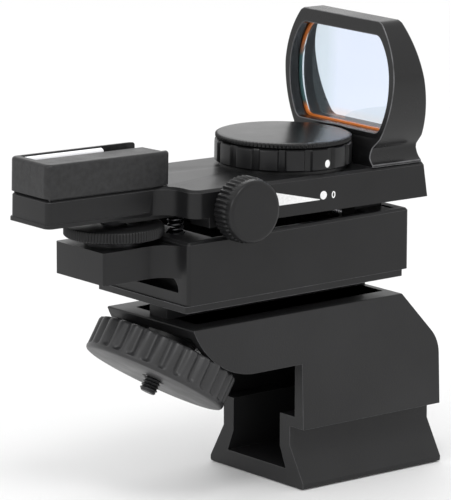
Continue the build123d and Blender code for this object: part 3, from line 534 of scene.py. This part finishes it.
def make_cap(place):
    """The cell's screw cap, finely knurled round its rim, with a skirt that reaches into the dial."""
    tooth, top = CAP_TOOTH_DEEP, CAP_TOP
    profile = [
        (CAP_SKIRT_IN, CAP_SKIRT_END, 0), (CAP_SKIRT_OUT, CAP_SKIRT_END, 0),
        (CAP_SKIRT_OUT + 0.05, CAP_UNDER - 0.02, 0), (CAP_RADIUS - 0.5, CAP_UNDER, 0),
        (CAP_RADIUS - 0.1, 3.85, tooth * 0.6), (CAP_RADIUS + 0.1, 4.02, tooth),
        (CAP_RADIUS + 0.1, top - 0.4, tooth), (CAP_RADIUS - 0.12, top - 0.2, tooth * 0.7),
        (CAP_RADIUS - 0.6, top - 0.07, 0), (CAP_RADIUS - 1.0, top - 0.02, 0), (CAP_RADIUS - 1.4, top, 0),
        (6.0, top, 0), (0, top, 0), (0, CAP_LID, 0), (CAP_SKIRT_IN, CAP_LID, 0)]
    mesh = turned_mesh("cap_grip", place, profile, CAP_TEETH * 8, waves(CAP_TEETH, 1.0))
    add_piece("cap_grip", mesh, "cap", "cap_gloss", ("cell_cap",))


def make_index_dot(place):
    """The raised oval dot on the dial's rim."""
    origin, side, other, axis = place
    out = side * math.cos(DOT_ANGLE) + other * math.sin(DOT_ANGLE)
    along = out.cross(axis)
    centre = origin + (out * (DIAL_RADIUS - DOT_SUNK) + axis * DOT_HEIGHT) * MM
    rings = ((1.0, -0.5), (1.0, 0.0), (0.93, 0.55), (0.8, 0.85), (0.5, 1.0))
    count, verts, faces = DOT_POINTS, [], []
    for reach, lift in rings:
        for i in range(count):
            angle = 2 * math.pi * i / count
            wide, tall = DOT_HALF_WIDE * reach * math.cos(angle), DOT_HALF_TALL * reach * math.sin(angle)
            verts.append(centre + (along * wide + axis * tall + out * (lift * DOT_PROUD)) * MM)
    for row in range(len(rings) - 1):
        for i in range(count):
            j = (i + 1) % count
            a, b = row * count, (row + 1) * count
            faces.append((a + i, a + j, b + j, b + i))
    faces.append(tuple(reversed(range(count))))
    faces.append(tuple(range((len(rings) - 1) * count, len(rings) * count)))
    mesh = bpy.data.meshes.new("dial_index_dot")
    mesh.from_pydata(verts, [], faces)
    smooth(mesh, 60)
    add_piece("dial_index_dot", mesh, "dial", "print_white")


def tipped(x, y, z):
    """A level point of the upper half, tipped to rest, in metres."""
    return (HINGE + TIP @ (Vector((x, y, z)) - HINGE)) * MM


def on_side(x, z, proud):
    """A point on the body's right side, standing proud of it, tipped to rest, in metres."""
    return tipped(x, PRINT_FACE - proud, z)


def oval(centre, half_wide, half_tall, count=40):
    """The points of an upright oval."""
    return [(centre[0] + half_wide * math.cos(2 * math.pi * i / count),
             centre[1] + half_tall * math.sin(2 * math.pi * i / count)) for i in range(count)]


def print_mesh(name, outline, hole=None):
    """A printed mark as a thin closed solid on the body's side."""
    count = len(outline)
    loops = [outline] if hole is None else [outline, hole]
    verts = [on_side(x, z, proud) for proud in (-PRINT_THICK, PRINT_THICK) for loop in loops for x, z in loop]
    faces = []
    level = count * len(loops)
    for i in range(count):
        j = (i + 1) % count
        faces.append((i, j, level + j, level + i))
        if hole:
            faces.append((count + j, count + i, level + count + i, level + count + j))
            faces.append((j, i, count + i, count + j))
            faces.append((level + i, level + j, level + count + j, level + count + i))
    if hole is None:
        faces.append(tuple(reversed(range(count))))
        faces.append(tuple(range(level, level + count)))
    return mesh_from(name, verts, faces)


def make_prints():
    """The wedge, the dot and the numeral on the body's right side."""
    add_piece("print_wedge", print_mesh("print_wedge", WEDGE), "sight", "print_white")
    dot = print_mesh("print_dot", oval(PRINT_DOT, PRINT_DOT_RADIUS, PRINT_DOT_RADIUS))
    add_piece("print_dot", dot, "sight", "print_white")
    outer = oval(NUMERAL, NUMERAL_HALF_WIDE, NUMERAL_HALF_TALL)
    inner = oval(NUMERAL, NUMERAL_HALF_WIDE - NUMERAL_STROKE, NUMERAL_HALF_TALL - NUMERAL_STROKE)
    add_piece("print_zero", print_mesh("print_zero", outer, inner), "sight", "print_white")


def make_lens_coating():
    """The dichroic film on the glass's rear face: a thin copy of the lens's own outline."""
    film = node_sheet("reflex_lens")
    normal = TIP @ Vector((-1, 0, 0))
    others = [f for f in film.faces if f.normal.dot(normal) < 0.99]
    bmesh.ops.delete(film, geom=others, context="FACES")
    shift = bmesh.ops.extrude_face_region(film, geom=list(film.faces))
    moved = [v for v in shift["geom"] if isinstance(v, bmesh.types.BMVert)]
    bmesh.ops.translate(film, verts=moved, vec=normal * FILM_THICK * MM)
    bmesh.ops.translate(film, verts=film.verts, vec=normal * FILM_GAP * MM)
    bmesh.ops.recalc_face_normals(film, faces=film.faces)
    mesh = bpy.data.meshes.new("lens_film")
    film.to_mesh(mesh)
    film.free()
    add_piece("lens_film", mesh, "sight", "lens_coating")


def make_lens_pane():
    """The glass itself, with its edge blacked so that no light leaks round it."""
    normal = TIP @ Vector((1, 0, 0))
    sheet = node_sheet("reflex_lens")
    for face in sheet.faces:
        face.material_index = 0 if abs(face.normal.dot(normal)) > 0.9 else 1
    mesh = bpy.data.meshes.new("lens_pane")
    sheet.to_mesh(mesh)
    sheet.free()
    add_piece("lens_pane", mesh, "sight", "lens_glass", ("reflex_lens",))
    mesh.materials.append(LOOKS["seal_rubber"])


def level_bar(name, outline, x0, x1):
    """A closed bar with a YZ outline, laid from x0 to x1 before the resting tilt, in mm."""
    count = len(outline)
    verts = [tipped(x, y, z) for x in (x0, x1) for y, z in outline]
    faces = [(i, (i + 1) % count, count + (i + 1) % count, count + i) for i in range(count)]
    faces += [tuple(reversed(range(count))), tuple(range(count, 2 * count))]
    mesh = mesh_from(name, verts, faces)
    smooth(mesh)
    return mesh


def make_tray():
    """The rubber pad that fills the tray, and beside it along the far wall a bar in the emitter window's
    place, coloured white as a painted highlight.
    """
    pad = [
        (-TRAY_HALF, TRAY_BOTTOM), (-TRAY_HALF, PAD_TOP_NEAR - PAD_EDGE),
        (-TRAY_HALF + PAD_EDGE, PAD_TOP_NEAR), (PAD_FAR - PAD_EDGE, PAD_TOP_FAR),
        (PAD_FAR, PAD_TOP_FAR - PAD_EDGE), (PAD_FAR, TRAY_BOTTOM)]
    mesh = level_bar("tray_pad", pad, TRAY_REAR, TRAY_FRONT)
    add_piece("tray_pad", mesh, "sight", "rubber_cover")
    far = TRAY_HALF - BAR_GAP
    middle, across = (BAR_NEAR + far) / 2, (far - BAR_NEAR) / 2
    arch = [(middle + across, BAR_FOOT)]
    for i in range(BAR_STEPS + 1):
        angle = math.pi * i / BAR_STEPS
        arch.append((middle + across * math.cos(angle), BAR_TOP - BAR_ARCH + BAR_ARCH * math.sin(angle)))
    arch.append((middle - across, BAR_FOOT))
    mesh = level_bar("window_bar", arch, TRAY_REAR + 2 * BAR_GAP, BAR_FRONT)
    add_piece("window_bar", mesh, "sight", "clear_window", ("emitter_window",))


def make_details():
    """Every piece that is added to the CAD nodes or stands for them."""
    for node, width in SOFTENED.items():
        soften(node, width)
    make_clamp()
    make_wheel()
    make_side_knob()
    make_dial()
    make_prints()
    make_lens_coating()
    make_lens_pane()
    make_tray()


# --------------------------------------------------------------- the stage
# In metres and watts. Each light has its place, its width and its power.
FLOOR_HALF, FLOOR_GAP, WORLD_STRENGTH = 6.0, 0.0002, 1.0
LIGHT_AIM = Vector((-0.02, 0, 0.05))
LIGHTS = {
    "key_light": ((-0.25, -0.35, 0.75), 0.22, 1.5),
    "side_light": ((-0.75, -0.1, 0.42), 0.2, 0.9),
    "back_light": ((0.55, 0.75, 0.75), 0.5, 1.0)}


def make_stage():
    """A plain pale floor under an even white sky, with three soft lights."""
    floor_z, half = CAD_BOX[0][2] - FLOOR_GAP, FLOOR_HALF
    mesh = bpy.data.meshes.new("floor")
    mesh.from_pydata(
        [(-half, -half, floor_z), (half, -half, floor_z), (half, half, floor_z), (-half, half, floor_z)],
        [], [(0, 1, 2, 3)])
    floor = bpy.data.objects.new("floor", mesh)
    bpy.context.scene.collection.objects.link(floor)
    pale = Look("floor_pale", (0.86, 0.86, 0.86), 0.7)
    pale.vary_colour(3, (0.85, 0.85, 0.85), (0.88, 0.88, 0.88)).vary_rough(8, 0.6, 0.8)
    mesh.materials.append(pale.material)

    world = bpy.data.worlds.new("studio")
    bpy.context.scene.world = world
    world.use_nodes = True
    sky = world.node_tree.nodes["Background"]
    sky.inputs["Color"].default_value = (1, 1, 1, 1)
    sky.inputs["Strength"].default_value = WORLD_STRENGTH
    for name, (place, size, power) in LIGHTS.items():
        softbox(name, Vector(place), size, power)


def softbox(name, place, size, power):
    """A square area light that looks at the object."""
    light = bpy.data.lights.new(name, "AREA")
    light.shape, light.size, light.energy = "SQUARE", size, power
    lamp = bpy.data.objects.new(name, light)
    bpy.context.scene.collection.objects.link(lamp)
    lamp.location = place
    aim = LIGHT_AIM - place
    lamp.rotation_euler = aim.to_track_quat("-Z", "Y").to_euler()


def make_camera():
    """A long lens that looks forward, to the left and down, rolled by a hair."""
    level = math.cos(VIEW_PITCH)
    forward = Vector((level * math.cos(VIEW_YAW), level * math.sin(VIEW_YAW), -math.sin(VIEW_PITCH)))
    right = forward.cross(Vector((0, 0, 1))).normalized()
    up = right.cross(forward)
    cos_roll, sin_roll = math.cos(VIEW_ROLL), math.sin(VIEW_ROLL)
    right, up = right * cos_roll + up * sin_roll, up * cos_roll - right * sin_roll
    camera = bpy.data.cameras.new("camera")
    camera.lens, camera.sensor_width, camera.clip_start = LENS_MM, SENSOR_MM, 0.01
    holder = bpy.data.objects.new("camera", camera)
    bpy.context.scene.collection.objects.link(holder)
    turn = Matrix((right, up, -forward)).transposed().to_4x4()
    place = right * -VIEW_RIGHT + up * VIEW_UP - forward * VIEW_DISTANCE
    holder.matrix_world = Matrix.Translation(place) @ turn
    bpy.context.scene.camera = holder
    bpy.context.scene.view_settings.view_transform = "Standard"


dress_nodes()
make_details()
make_stage()
make_camera()
